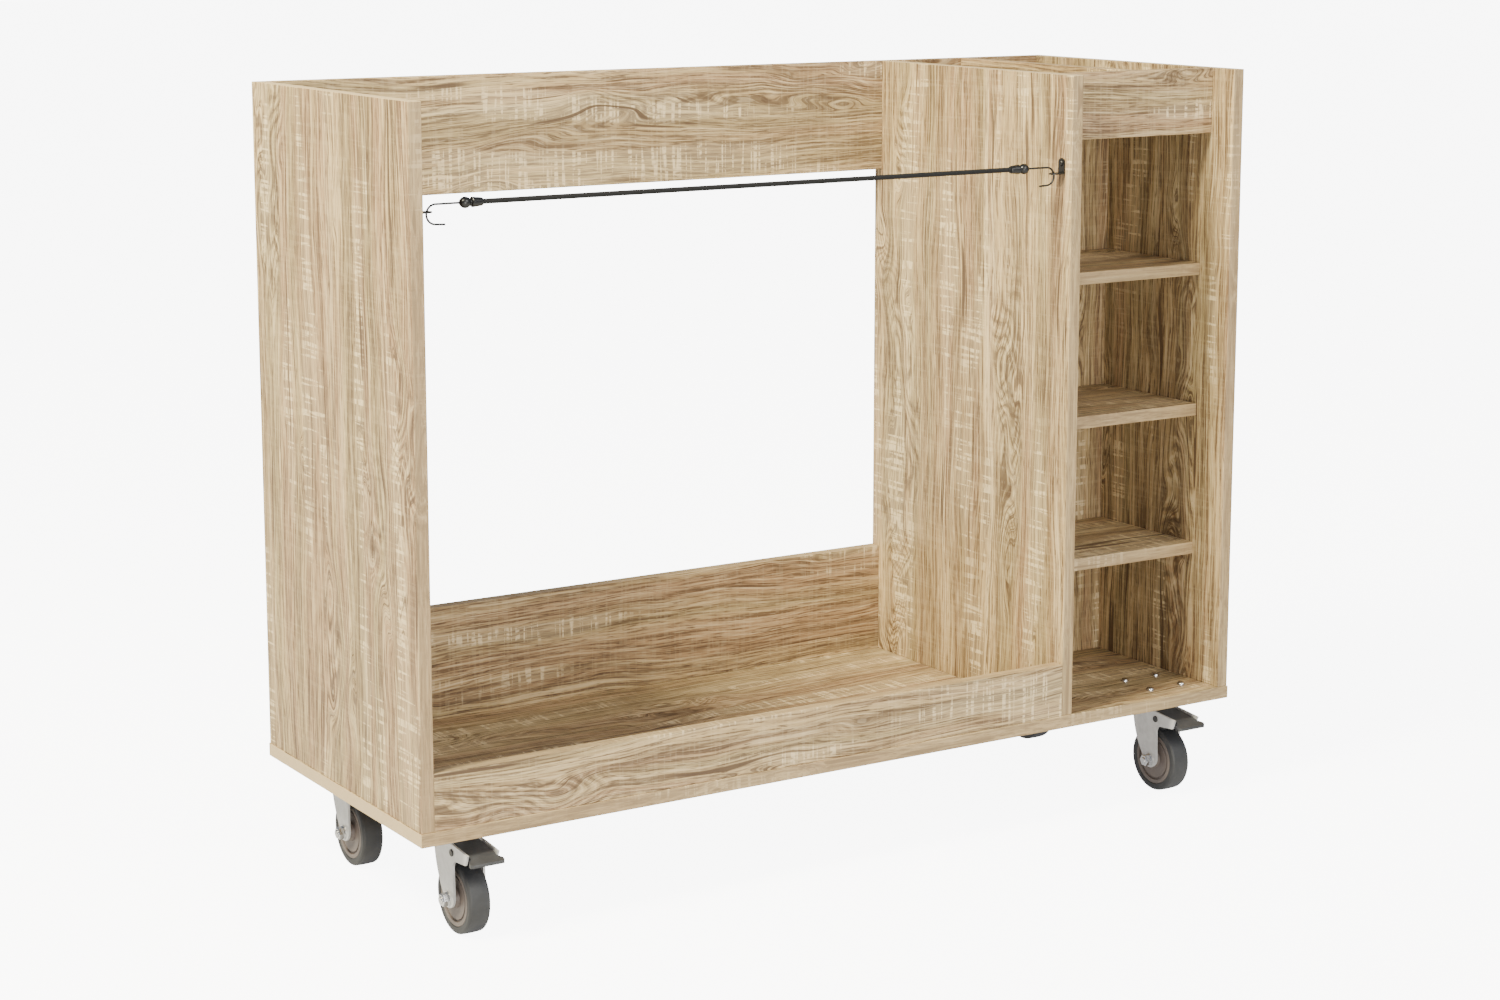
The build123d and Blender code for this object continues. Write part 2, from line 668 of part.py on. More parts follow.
# ---------------------------------------------------------------- brake pedals
def make_pedal(corner, x, y):
    """Foot pedal: a top plate between the fork's arms, a flared toe lip in front of them, a
    boss on the pivot pin and a cam that comes down on the tread."""
    pin = (front_y + pedal_pin_back, base_z - pedal_pin_drop)
    to_axle = (y - trail - pin[0], axle_z - pin[1])
    reach = math.hypot(*to_axle) - wheel_radius - brake_gap - pedal_cam_tip_radius
    turn = math.atan2(to_axle[1], to_axle[0]) - math.radians(pedal_travel)
    cam_tip = (pin[0] + reach * math.cos(turn), pin[1] + reach * math.sin(turn))
    tip_y = front_y - pedal_reach
    lip_y = front_y - 1.2
    top = base_z - pedal_front_drop
    back = (front_y + 37.0, base_z - pedal_back_drop)
    side = Plane(
        origin=(x - pedal_lip_half_width, 0, 0), x_dir=(0, 1, 0), z_dir=(1, 0, 0)
    )
    boss_half = fork_inner - 2 * running_gap
    with BuildPart() as pedal:
        with BuildSketch(side):
            with BuildLine():
                Polyline(
                    back,
                    (lip_y, top),
                    (tip_y + 1.2, top - 5.0),
                    (tip_y, top - 6.4),
                    (tip_y + 0.6, top - 8.4),
                    (tip_y + 3.0, top - 8.9),
                    (lip_y + 1.0, top - pedal_wall - 0.6),
                    (back[0], back[1] - pedal_wall),
                    close=True,
                )
            make_face()
        extrude(amount=2 * pedal_lip_half_width)
        with BuildSketch(Plane.XY.offset(base_z - 40.0)):
            with BuildLine():
                outline = [
                    (pedal_half_width, back[0]),
                    (pedal_half_width, front_y - 5.6),
                    (pedal_lip_half_width, front_y - 11.0),
                    (pedal_lip_half_width, tip_y + 3.0),
                    (pedal_lip_half_width - 3.0, tip_y),
                ]
                right = [(x + across, along) for across, along in outline]
                left = [(x - across, along) for across, along in reversed(outline)]
                Polyline(*right, *left, close=True)
            make_face()
        extrude(amount=40.0, mode=Mode.INTERSECT)
        with BuildSketch(Plane(origin=(x - boss_half, 0, 0), x_dir=(0, 1, 0), z_dir=(1, 0, 0))):
            with Locations(pin):
                Circle(pedal_boss_radius)
        extrude(amount=2 * boss_half)
        cam_start = x - pedal_cam_half_width
        with BuildSketch(Plane(origin=(cam_start, 0, 0), x_dir=(0, 1, 0), z_dir=(1, 0, 0))):
            with Locations(pin):
                Circle(pedal_boss_radius)
            with Locations(cam_tip):
                Circle(pedal_cam_tip_radius)
            make_hull()
        extrude(amount=2 * pedal_cam_half_width)
        with BuildSketch(side):
            with Locations(pin):
                Circle(pedal_pin_radius + fit_gap)
        extrude(amount=2 * pedal_lip_half_width, mode=Mode.SUBTRACT)
    save(pedal.part, f"{corner}_brake_pedal")


def make_pedal_pin(corner, x):
    """Riveted pivot pin, fixed in the fork's arms."""
    pin = (front_y + pedal_pin_back, base_z - pedal_pin_drop)
    with BuildPart() as rivet:
        for start, radius, length in (
            (-fork_outer - pedal_pin_head_height, pedal_pin_head_radius, pedal_pin_head_height),
            (-fork_outer, pedal_pin_radius, 2 * fork_outer),
            (fork_outer, pedal_pin_head_radius, pedal_pin_head_height),
        ):
            pin_plane = Plane(origin=(x + start, 0, 0), x_dir=(0, 1, 0), z_dir=(1, 0, 0))
            with BuildSketch(pin_plane):
                with Locations(pin):
                    Circle(radius)
            extrude(amount=length)
        outer_faces = [rivet.faces().sort_by(Axis.X)[0], rivet.faces().sort_by(Axis.X)[-1]]
        chamfer([edge for face in outer_faces for edge in face.edges()], 0.6)
    save(rivet.part, f"{corner}_pedal_pin")


# ---------------------------------------------------------------- elastic cord and its fittings
def make_bracket(side_name, face, way):
    """Small angle bracket: a round-topped plate on the upright and a lug with the hook's hole."""
    top = cord_z + bracket_above
    bottom = cord_z - bracket_below
    half = bracket_width / 2
    rise = hook_bend_radius - bracket_below + bracket_sheet
    inside_bend = math.sqrt((hook_bend_radius - wire_radius) ** 2 - rise**2)
    hole_x = hook_reach + hook_bend_radius - inside_bend + fit_gap - bracket_hole_radius
    with BuildPart() as bracket:
        with BuildSketch(Plane(origin=(face, cord_y, 0), x_dir=(0, 1, 0), z_dir=(1, 0, 0))):
            with BuildLine():
                Polyline((-half, top - half), (-half, bottom), (half, bottom), (half, top - half))
                ThreePointArc((half, top - half), (0, top), (-half, top - half))
            make_face()
        extrude(amount=way * bracket_sheet)
        with BuildSketch(Plane.XY.offset(bottom)):
            with BuildLine():
                lug_straight = face + way * (bracket_lug - half)
                Polyline(
                    (lug_straight, cord_y - half),
                    (face, cord_y - half),
                    (face, cord_y + half),
                    (lug_straight, cord_y + half),
                )
                ThreePointArc(
                    (lug_straight, cord_y + half),
                    (face + way * bracket_lug, cord_y),
                    (lug_straight, cord_y - half),
                )
            make_face()
            with Locations((face + way * hole_x, cord_y)):
                Circle(bracket_hole_radius, mode=Mode.SUBTRACT)
        extrude(amount=bracket_sheet)
        screw_point = (face, cord_y, cord_z + bracket_screw_above)
        with BuildSketch(Plane(origin=screw_point, z_dir=(way, 0, 0))):
            Circle(bracket_screw_radius + fit_gap)
        extrude(amount=bracket_sheet, mode=Mode.SUBTRACT)
    save(bracket.part, f"{side_name}_cord_bracket")


def make_bracket_screw(face, way):
    """Pan-headed wood screw through a bracket into its upright."""
    head_point = (face + way * bracket_sheet, cord_y, cord_z + bracket_screw_above)
    with BuildPart() as screw:
        with BuildSketch(Plane(origin=head_point, z_dir=(way, 0, 0))):
            Circle(bracket_screw_head_radius)
        extrude(amount=bracket_screw_head_height)
        head = screw.faces().sort_by(Axis.X)[-1 if way > 0 else 0]
        chamfer(head.edges(), 0.7)
        with BuildSketch(Plane(origin=head_point, z_dir=(-way, 0, 0))):
            Circle(bracket_screw_radius)
        extrude(amount=bracket_sheet + bracket_screw_length)
    return screw.part


def make_hook(side_name, face, way):
    """Bent wire hook: a straight shank, a half-round bend down through the lug and a tip back under."""
    bend_x = face + way * (hook_reach + hook_bend_radius)
    bend_z = cord_z - hook_bend_radius
    shank_x = face + way * (hook_shank_end + wire_socket)
    slope = math.radians(hook_tip_slope)
    low_x = bend_x + way * hook_bend_radius * math.sin(-slope)
    low_z = bend_z - hook_bend_radius * math.cos(slope)
    tip_x = low_x + way * hook_tip_length * math.cos(slope)
    tip_z = low_z - hook_tip_length * math.sin(slope)
    plane = Plane(origin=(0, cord_y, 0), x_dir=(1, 0, 0), z_dir=(0, -1, 0))
    with BuildPart() as hook:
        with BuildLine(plane) as route:
            Line((shank_x, cord_z), (bend_x, cord_z))
            ThreePointArc(
                (bend_x, cord_z),
                (bend_x - way * hook_bend_radius, bend_z),
                (low_x, low_z),
            )
            Line((low_x, low_z), (tip_x, tip_z))
        with BuildSketch(Plane(origin=(shank_x, cord_y, cord_z), z_dir=(-way, 0, 0))):
            Circle(wire_radius)
        sweep(path=route.wires()[0])
    save(hook.part, f"{side_name}_cord_hook")


def make_ferrule(side_name, face, way):
    """Moulded cord end: a ball for the wire, a neck and a tapered barrel with the cord's socket."""
    ball_x = face + way * hook_shank_end
    neck_x = ball_x + way * ball_end_length
    barrel_x = neck_x + way * ferrule_neck_length
    mouth_x = barrel_x + way * ferrule_length
    plane = Plane(origin=(0, cord_y, cord_z), x_dir=(1, 0, 0), z_dir=(0, -1, 0))
    ball_start = wire_radius + 0.6
    with BuildPart() as ferrule:
        with BuildSketch(plane):
            with BuildLine():
                Line((ball_x, 0), (ball_x, ball_start))
                ThreePointArc(
                    (ball_x, ball_start),
                    (ball_x + way * ball_end_length / 2, ball_end_radius),
                    (neck_x, ferrule_neck_radius),
                )
                Polyline(
                    (neck_x, ferrule_neck_radius),
                    (barrel_x, ferrule_neck_radius),
                    (barrel_x + way * 0.6, ferrule_radius - 0.6),
                    (barrel_x + way * 1.4, ferrule_radius),
                    (mouth_x - way * 1.0, ferrule_mouth_radius),
                    (mouth_x, ferrule_mouth_radius - 0.5),
                    (mouth_x, 0),
                    (ball_x, 0),
                )
            make_face()
        revolve(axis=Axis((0, cord_y, cord_z), (1, 0, 0)))
        with BuildSketch(Plane(origin=(ball_x, cord_y, cord_z), z_dir=(way, 0, 0))):
            Circle(wire_radius + fit_gap)
        extrude(amount=wire_socket, mode=Mode.SUBTRACT)
        with BuildSketch(Plane(origin=(mouth_x, cord_y, cord_z), z_dir=(-way, 0, 0))):
            Circle(cord_radius + fit_gap)
        extrude(amount=ferrule_socket, mode=Mode.SUBTRACT)
    save(ferrule.part, f"{side_name}_cord_ferrule")


def cord_end_x(face, way):
    """Bottom of the cord's socket, where the cord starts."""
    barrel = hook_shank_end + ball_end_length + ferrule_neck_length + ferrule_length
    return face + way * (barrel - ferrule_socket)


def make_cord():
    """The stretched elastic cord, straight between its two ferrules."""
    start = cord_end_x(*bracket_faces["left"])
    end = cord_end_x(*bracket_faces["right"])
    with BuildPart() as cord:
        with BuildSketch(Plane(origin=(start, cord_y, cord_z), z_dir=(1, 0, 0))):
            Circle(cord_radius)
        extrude(amount=end - start)
    save(cord.part, "elastic_cord")


# ---------------------------------------------------------------- build everything
for board_name in boards:
    make_board(board_name)
save_group([make_dowel(point, direction) for point, direction, _, _ in dowels], "dowels")
save_group([make_base_screw(x, y) for x, y, _ in base_screws], "base_screws")

bolt_pieces = []
for x, y in corners.values():
    for step_x in (-bolt_spacing / 2, bolt_spacing / 2):
        for step_y in (-bolt_spacing / 2, bolt_spacing / 2):
            bolt_pieces += make_caster_bolt(x + step_x, y + step_y)
save_group(bolt_pieces, "caster_bolts")
save_group([make_kingpin(x, y) for x, y in corners.values()], "kingpins")

for corner, (x, y) in corners.items():
    make_caster_plate(corner, x, y)
    make_race_balls(corner, x, y)
    make_fork(corner, x, y)
    make_axle_set(corner, x, y)
    make_bush(corner, x, y)
    make_hub(corner, x, y)
    make_tyre(corner, x, y)
    if corner in braked:
        make_pedal(corner, x, y)
        make_pedal_pin(corner, x)

for side_name, (face, way) in bracket_faces.items():
    make_bracket(side_name, face, way)
    make_hook(side_name, face, way)
    make_ferrule(side_name, face, way)
save_group([make_bracket_screw(face, way) for face, way in bracket_faces.values()], "bracket_screws")
make_cord()
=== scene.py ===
"""Rolling storage rack of oak-look laminate boards, laid out as an add-on and run as a script."""

import math

import bpy
import numpy as np
from bpy.props import FloatProperty, FloatVectorProperty, IntProperty, PointerProperty
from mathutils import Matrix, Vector


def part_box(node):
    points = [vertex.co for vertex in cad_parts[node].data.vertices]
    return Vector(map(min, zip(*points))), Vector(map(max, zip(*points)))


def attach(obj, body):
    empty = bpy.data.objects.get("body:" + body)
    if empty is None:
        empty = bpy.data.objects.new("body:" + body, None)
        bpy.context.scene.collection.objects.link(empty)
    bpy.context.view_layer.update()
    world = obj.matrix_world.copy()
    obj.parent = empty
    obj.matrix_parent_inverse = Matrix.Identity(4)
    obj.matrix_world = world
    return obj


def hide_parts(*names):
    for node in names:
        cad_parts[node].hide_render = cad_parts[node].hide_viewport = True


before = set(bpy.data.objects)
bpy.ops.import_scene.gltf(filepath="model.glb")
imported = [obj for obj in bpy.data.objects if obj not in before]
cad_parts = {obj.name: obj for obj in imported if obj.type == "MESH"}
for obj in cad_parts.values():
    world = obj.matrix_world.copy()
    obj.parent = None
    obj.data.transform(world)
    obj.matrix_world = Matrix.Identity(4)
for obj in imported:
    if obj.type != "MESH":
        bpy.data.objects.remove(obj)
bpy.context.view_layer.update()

bl_info = {
    "name": "Rolling Storage Rack",
    "version": (1, 0, 0),
    "blender": (4, 5, 0),
    "location": "3D View > Sidebar > Rack",
    "description": "Builds the rack's finishes, elastic cord and studio",
    "category": "Object",
}

# ---------------------------------------------------------------- what the frame says
CORNERS = ("front_left", "front_right", "back_left", "back_right")
BRAKED = CORNERS[:2]
SIDES = ("left", "right")
CORD_LOW, CORD_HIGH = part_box("elastic_cord")
CORD_AXIS = (CORD_LOW + CORD_HIGH) / 2
CORD_RADIUS = (CORD_HIGH.z - CORD_LOW.z) / 2
CORD_START = CORD_LOW.x
CORD_END = CORD_HIGH.x

# How the cord's braid is cut into a mesh, and how deep the dips between its strands are.
CORD_RINGS = 1100
CORD_SIDES = 32
BRAID_DIP = 0.07

# The studio, in metres.
LIGHT_TARGET = Vector((0.0, 0.0, 0.45))
FLOOR_REACH = 30.0
CAMERA_REACH = 60.0
SENSOR_WIDTH = 36.0  # millimetres
WHITE = (1.0, 1.0, 1.0)

# Grain direction of each board, the direction through its thickness, and its place in the
# printed pattern (along, across, in metres).
GRAIN = {
    "base_panel": ("X", "Z", (0.31, 0.07)),
    "left_side_panel": ("Z", "X", (0.0, 0.0)),
    "right_side_panel": ("Z", "X", (1.9, 0.63)),
    "divider_panel": ("Z", "X", (0.04, 0.33)),
    "front_kick_rail": ("X", "Y", (2.2, 0.41)),
    "lower_back_rail": ("X", "Y", (13.1, 0.47)),
    "upper_back_rail": ("X", "Y", (4.7, 0.88)),
    "column_back_rail": ("X", "Y", (5.6, 0.52)),
    "column_front_rail": ("X", "Y", (6.1, 0.23)),
    "column_back_panel": ("Z", "Y", (7.3, 0.71)),
    "tray_bottom": ("Y", "Z", (8.2, 0.1)),
    "tray_partition": ("Y", "X", (8.9, 0.35)),
    "bottom_shelf": ("X", "Z", (9.4, 0.6)),
    "middle_shelf": ("X", "Z", (10.6, 0.9)),
    "top_shelf": ("X", "Z", (11.7, 0.15)),
}


# ---------------------------------------------------------------- sizes and colours to change
def colour(name, description, value):
    """A colour setting."""
    return FloatVectorProperty(name=name, description=description, subtype="COLOR", default=value)


class RackLaminateSettings(bpy.types.PropertyGroup):
    """Colours of the printed oak laminate."""

    light: colour("Light", "Palest growth band", (0.455, 0.322, 0.160))
    middle: colour("Middle", "Usual band", (0.335, 0.228, 0.110))
    pink: colour("Pink", "Pinkish tan band", (0.335, 0.210, 0.108))
    green: colour("Green", "Grey-green band", (0.300, 0.225, 0.106))
    dark: colour("Dark", "Pores and cracks", (0.085, 0.050, 0.026))
    cream: colour("Cream", "Saw marks", (0.80, 0.64, 0.385))
    banding: colour("Banding", "Edge banding", (0.350, 0.248, 0.130))


class RackCasterSettings(bpy.types.PropertyGroup):
    """Colours of the casters."""

    zinc: colour("Zinc", "Plated forks and plates", (0.50, 0.50, 0.505))
    bright: colour("Bright", "Bolts and nuts", (0.62, 0.62, 0.63))
    tyre: colour("Tyre", "Rubber tyre", (0.0215, 0.0225, 0.0255))
    hub: colour("Hub", "Moulded wheel centre", (0.130, 0.107, 0.098))
    pedal: colour("Pedal", "Brake pedal", (0.033, 0.0345, 0.039))


class RackCordSettings(bpy.types.PropertyGroup):
    """The elastic cord and its fittings."""

    strands: IntProperty(
        name="Strands",
        description="Braid strands each way round the cord",
        default=8,
        min=4,
        max=24,
    )
    pitch: FloatProperty(
        name="Pitch",
        description="Length of one braid turn",
        default=0.016,
        unit="LENGTH",
    )
    black: colour("Black", "Cord and fittings", (0.0025, 0.0025, 0.0025))


class RackStudioSettings(bpy.types.PropertyGroup):
    """Camera, light and floor."""

    camera_place: FloatVectorProperty(
        name="Camera",
        description="Where the camera stands",
        subtype="TRANSLATION",
        default=(-1.8056, -2.8251, 1.0814),
    )
    camera_pitch: FloatProperty(
        name="Pitch",
        description="How far the camera looks down",
        subtype="ANGLE",
        default=0.16829,
    )
    camera_turn: FloatProperty(
        name="Turn",
        description="How far the camera is turned to the right",
        subtype="ANGLE",
        default=0.56189,
    )
    focal_length: FloatProperty(
        name="Lens",
        description="Focal length on a 36 mm sensor",
        default=69.83,
        unit="CAMERA",
    )
    shift: FloatProperty(name="Shift", description="Lens shift that frames the rack", default=-0.067)
    key_from: FloatVectorProperty(
        name="Key from",
        description="Direction of the key light",
        subtype="XYZ",
        default=(-1.0, -0.2, 1.1),
    )
    key_power: FloatProperty(name="Key", description="Power of the key light", default=560.0, unit="POWER")
    fill: FloatProperty(name="Fill", description="Strength of the even light", default=0.32, min=0.0)
    warmth: colour("Warmth", "Colour of the key light", (1.0, 0.92, 0.68))
    shade: colour("Shade", "Colour of the even light", (0.90, 1.0, 1.16))
    glow: FloatProperty(
        name="Glow",
        description="How bright the floor and backdrop look",
        default=7.5,
        min=0.0,
    )
    bounce: FloatProperty(
        name="Bounce",
        description="Light that the floor itself gives",
        default=0.6,
        min=0.0,
    )
    floor: colour("Floor", "Colour of the floor", (0.42, 0.42, 0.42))


def settings(name):
    """One of the rack's setting groups."""
    return getattr(bpy.context.scene, "rack_" + name)


# ---------------------------------------------------------------- node helpers
def put(tree, kind, *inputs, **values):
    """A node of a tree. Each input is a socket, a constant or None, in the order of its sockets."""
    node = tree.nodes.new(kind)
    for key, value in values.items():
        setattr(node, key, value)
    for socket, value in zip(node.inputs, inputs):
        if isinstance(value, bpy.types.NodeSocket):
            tree.links.new(value, socket)
        elif value is not None:
            socket.default_value = value
    return node


def calc(tree, operation, a, b=None, c=None):
    """A Math node's result."""
    return put(tree, "ShaderNodeMath", a, b, c, operation=operation).outputs[0]


def ramp(tree, value, low, high):
    """0 up to low, 1 from high, smooth between."""
    node = put(tree, "ShaderNodeMapRange", value, low, high, 0.0, 1.0, interpolation_type="SMOOTHSTEP")
    return node.outputs[0]


def blend(tree, share, a, b, how="MIX"):
    """Mix of two colours."""
    node = tree.nodes.new("ShaderNodeMix")
    node.data_type = "RGBA"
    node.blend_type = how
    for socket, value in ((node.inputs[0], share), (node.inputs[6], a), (node.inputs[7], b)):
        if isinstance(value, bpy.types.NodeSocket):
            tree.links.new(value, socket)
        else:
            socket.default_value = value
    return node.outputs[2]


def paint(colour):
    """A colour setting with its alpha."""
    return (*colour, 1.0)


def noise(tree, place, scales, detail=2.0, rough=0.5, warp=0.0):
    """Noise on a place whose three axes are scaled apart, in turns per metre."""
    scaled = put(tree, "ShaderNodeVectorMath", place, scales, operation="MULTIPLY").outputs[0]
    node = put(tree, "ShaderNodeTexNoise", scaled, None, 1.0, detail, rough)
    node.inputs["Distortion"].default_value = warp
    return node.outputs[0]


def group(name, ins, outs):
    """An empty node group with named sockets: (tree, input node, output node)."""
    tree = bpy.data.node_groups.new(name, "ShaderNodeTree")
    for label, kind, value in ins:
        socket = tree.interface.new_socket(name=label, in_out="INPUT", socket_type=kind)
        if value is not None:
            socket.default_value = value
    for label, kind in outs:
        tree.interface.new_socket(name=label, in_out="OUTPUT", socket_type=kind)
    return tree, tree.nodes.new("NodeGroupInput"), tree.nodes.new("NodeGroupOutput")


def use(tree, name, **inputs):
    """A node group placed in a tree, with inputs by name."""
    node = tree.nodes.new("ShaderNodeGroup")
    node.node_tree = bpy.data.node_groups[name]
    for label, value in inputs.items():
        socket = node.inputs[label]
        if isinstance(value, bpy.types.NodeSocket):
            tree.links.new(value, socket)
        else:
            socket.default_value = value
    return node


# ---------------------------------------------------------------- node groups
def layer(tree, tone, mask, strength, colour):
    """Lays a colour over a tone where a mask shows, at a strength."""
    return blend(tree, calc(tree, "MULTIPLY", mask, strength), tone, colour)


def make_laminate_group():
    """Printed oak. Growth bands wander along the grain and close into rings round knots, with
    fine lines and pores along it, columns of short pale saw strokes across it and a few dark
    cracks. Place is in metres with X along the grain, Y across it and Z through the board."""
    names = ("Light", "Middle", "Pink", "Green", "Dark", "Cream")
    tones = [(name, "NodeSocketColor", (1, 1, 1, 1)) for name in names]
    tree, start, end = group(
        "Oak print",
        [("Place", "NodeSocketVector", None), *tones],
        [("Color", "NodeSocketColor"), ("Relief", "NodeSocketFloat"), ("Roughness", "NodeSocketFloat")],
    )
    place = start.outputs["Place"]
    light, middle, pink, green, dark, cream = (start.outputs[name] for name in names)
    # Wander of the grain, and a field whose level lines are the rings of a knot.
    wander = noise(tree, place, (2.4, 9.0, 9.0), 2.0, 0.5)
    field = noise(tree, place, (6.5, 19.0, 19.0), 1.0, 0.4)
    knot = ramp(tree, noise(tree, place, (2.6, 9.0, 9.0), 1.0, 0.5, 0.4), 0.56, 0.66)
    shift = calc(tree, "MULTIPLY", calc(tree, "SUBTRACT", wander, 0.5), 0.055)
    swirl = calc(tree, "MULTIPLY", calc(tree, "SUBTRACT", field, 0.5), 0.11)
    shift = calc(tree, "MULTIPLY_ADD", swirl, knot, shift)
    moved = put(tree, "ShaderNodeCombineXYZ", 0.0, shift, 0.0).outputs[0]
    bent = put(tree, "ShaderNodeVectorMath", place, moved, operation="ADD").outputs[0]
    # Growth bands and their drift between beige, pink and grey-green.
    broad = noise(tree, bent, (0.7, 24.0, 24.0), 2.0, 0.5)
    bands = noise(tree, bent, (1.4, 70.0, 70.0), 3.0, 0.6)
    hue = noise(tree, bent, (0.9, 30.0, 13.0), 2.0, 0.5)
    tone = blend(tree, ramp(tree, broad, 0.40, 0.60), middle, light)
    tone = layer(tree, tone, ramp(tree, hue, 0.51, 0.60), 0.80, pink)
    tone = layer(tree, tone, ramp(tree, hue, 0.49, 0.39), 0.70, green)
    tone = layer(tree, tone, ramp(tree, bands, 0.50, 0.66), 0.42, dark)
    tone = layer(tree, tone, ramp(tree, bands, 0.44, 0.32), 0.28, cream)
    # Rings of the knots.
    ripple = calc(tree, "MULTIPLY", bands, 9.0)
    waves = calc(tree, "SINE", calc(tree, "MULTIPLY_ADD", field, 120.0, ripple))
    ring = calc(tree, "MULTIPLY", ramp(tree, waves, 0.30, 0.95), knot)
    pale_ring = calc(tree, "MULTIPLY", ramp(tree, waves, -0.55, -1.0), knot)
    tone = layer(tree, tone, ring, 0.66, dark)
    tone = layer(tree, tone, pale_ring, 0.30, cream)
    # Fine lines and pores.
    lines = noise(tree, bent, (6.0, 340.0, 340.0), 3.0, 0.7)
    pores = noise(tree, bent, (36.0, 720.0, 720.0), 2.0, 0.6)
    tone = layer(tree, tone, ramp(tree, lines, 0.49, 0.59), 0.72, dark)
    tone = layer(tree, tone, ramp(tree, lines, 0.47, 0.34), 0.34, cream)
    pore = ramp(tree, pores, 0.55, 0.66)
    tone = layer(tree, tone, pore, 0.80, dark)
    tone = layer(tree, tone, ramp(tree, pores, 0.44, 0.34), 0.22, cream)
    # Saw strokes: thin, pale, across the grain, in columns that run along it, and a faint
    # trace of them elsewhere.
    column = ramp(tree, noise(tree, place, (3.0, 22.0, 22.0), 1.5, 0.5), 0.55, 0.62)
    strokes = noise(tree, place, (235.0, 12.0, 12.0), 1.5, 0.5, 0.2)
    broken = ramp(tree, noise(tree, place, (70.0, 300.0, 300.0), 2.0, 0.6), 0.38, 0.54)
    stroke = calc(tree, "MULTIPLY", ramp(tree, strokes, 0.53, 0.60), broken)
    saw = calc(tree, "MULTIPLY", stroke, column)
    tone = layer(tree, tone, column, 0.14, cream)
    tone = layer(tree, tone, stroke, 0.07, cream)
    tone = layer(tree, tone, saw, 0.60, cream)
    # Cracks: thin dark streaks.
    crack = ramp(tree, noise(tree, bent, (3.8, 130.0, 130.0), 1.0, 0.5), 0.67, 0.72)
    tone = layer(tree, tone, crack, 0.92, dark)
    tree.links.new(tone, end.inputs["Color"])
    relief = calc(tree, "MULTIPLY_ADD", pore, -0.8, calc(tree, "MULTIPLY", saw, 0.6))
    relief = calc(tree, "MULTIPLY_ADD", lines, -0.35, relief)
    tree.links.new(calc(tree, "ADD", relief, 1.0), end.inputs["Relief"])
    rough = calc(tree, "MULTIPLY_ADD", pore, 0.12, 0.44)
    tree.links.new(calc(tree, "MULTIPLY_ADD", lines, 0.10, rough), end.inputs["Roughness"])


def make_speckle_group():
    """Fine unevenness of a moulded or plated surface: two noises, mixed."""
    tree, start, end = group(
        "Surface speckle",
        [
            ("Place", "NodeSocketVector", None),
            ("Coarse", "NodeSocketFloat", 60.0),
            ("Fine", "NodeSocketFloat", 900.0),
        ],
        [("Cloud", "NodeSocketFloat"), ("Grain", "NodeSocketFloat")],
    )
    place = start.outputs["Place"]
    cloud = put(tree, "ShaderNodeTexNoise", place, None, start.outputs["Coarse"], 3.0, 0.55)
    grain = put(tree, "ShaderNodeTexNoise", place, None, start.outputs["Fine"], 2.0, 0.6)
    tree.links.new(cloud.outputs[0], end.inputs["Cloud"])
    tree.links.new(grain.outputs[0], end.inputs["Grain"])


# ---------------------------------------------------------------- materials
def new_material(name):
    """An empty material: (material, tree, Principled node, place socket)."""
    made = bpy.data.materials.new(name)
    made.use_nodes = True
    tree = made.node_tree
    shader = next(node for node in tree.nodes if node.type == "BSDF_PRINCIPLED")
    place = tree.nodes.new("ShaderNodeTexCoord")
    return made, tree, shader, place


def bump(tree, shader, height, strength, distance):
    """Relief on the shader's normal."""
    node = tree.nodes.new("ShaderNodeBump")
    node.inputs["Strength"].default_value = strength
    node.inputs["Distance"].default_value = distance
    tree.links.new(height, node.inputs["Height"])
    tree.links.new(node.outputs[0], shader.inputs["Normal"])


def laminate_material(board):
    """Oak print on a board's faces and plain banding on its edges."""
    along, through, start = GRAIN[board]
    across = ({"X", "Y", "Z"} - {along, through}).pop()
    tones = settings("laminate")
    made, tree, shader, place = new_material("laminate " + board.replace("_", " "))
    apart = put(tree, "ShaderNodeSeparateXYZ", place.outputs["Object"]).outputs
    facing = put(tree, "ShaderNodeSeparateXYZ", place.outputs["Normal"]).outputs
    print_place = put(
        tree,
        "ShaderNodeCombineXYZ",
        calc(tree, "ADD", apart[along], start[0]),
        calc(tree, "ADD", apart[across], start[1]),
        apart[through],
    ).outputs[0]
    oak = use(
        tree,
        "Oak print",
        Place=print_place,
        Light=paint(tones.light),
        Middle=paint(tones.middle),
        Pink=paint(tones.pink),
        Green=paint(tones.green),
        Dark=paint(tones.dark),
        Cream=paint(tones.cream),
    )
    face = ramp(tree, calc(tree, "ABSOLUTE", facing[through]), 0.5, 0.8)
    cut_end = ramp(tree, calc(tree, "ABSOLUTE", facing[along]), 0.6, 0.8)
    share = calc(tree, "MULTIPLY_ADD", cut_end, 0.30, 0.58)
    edge = blend(tree, share, oak.outputs["Color"], paint(tones.banding))
    edge = blend(tree, calc(tree, "MULTIPLY", cut_end, 0.35), edge, paint(tones.cream))
    tree.links.new(blend(tree, face, edge, oak.outputs["Color"]), shader.inputs["Base Color"])
    tree.links.new(oak.outputs["Roughness"], shader.inputs["Roughness"])
    shader.inputs["Specular IOR Level"].default_value = 0.35
    bump(tree, shader, oak.outputs["Relief"], 0.35, 0.0003)
    return made


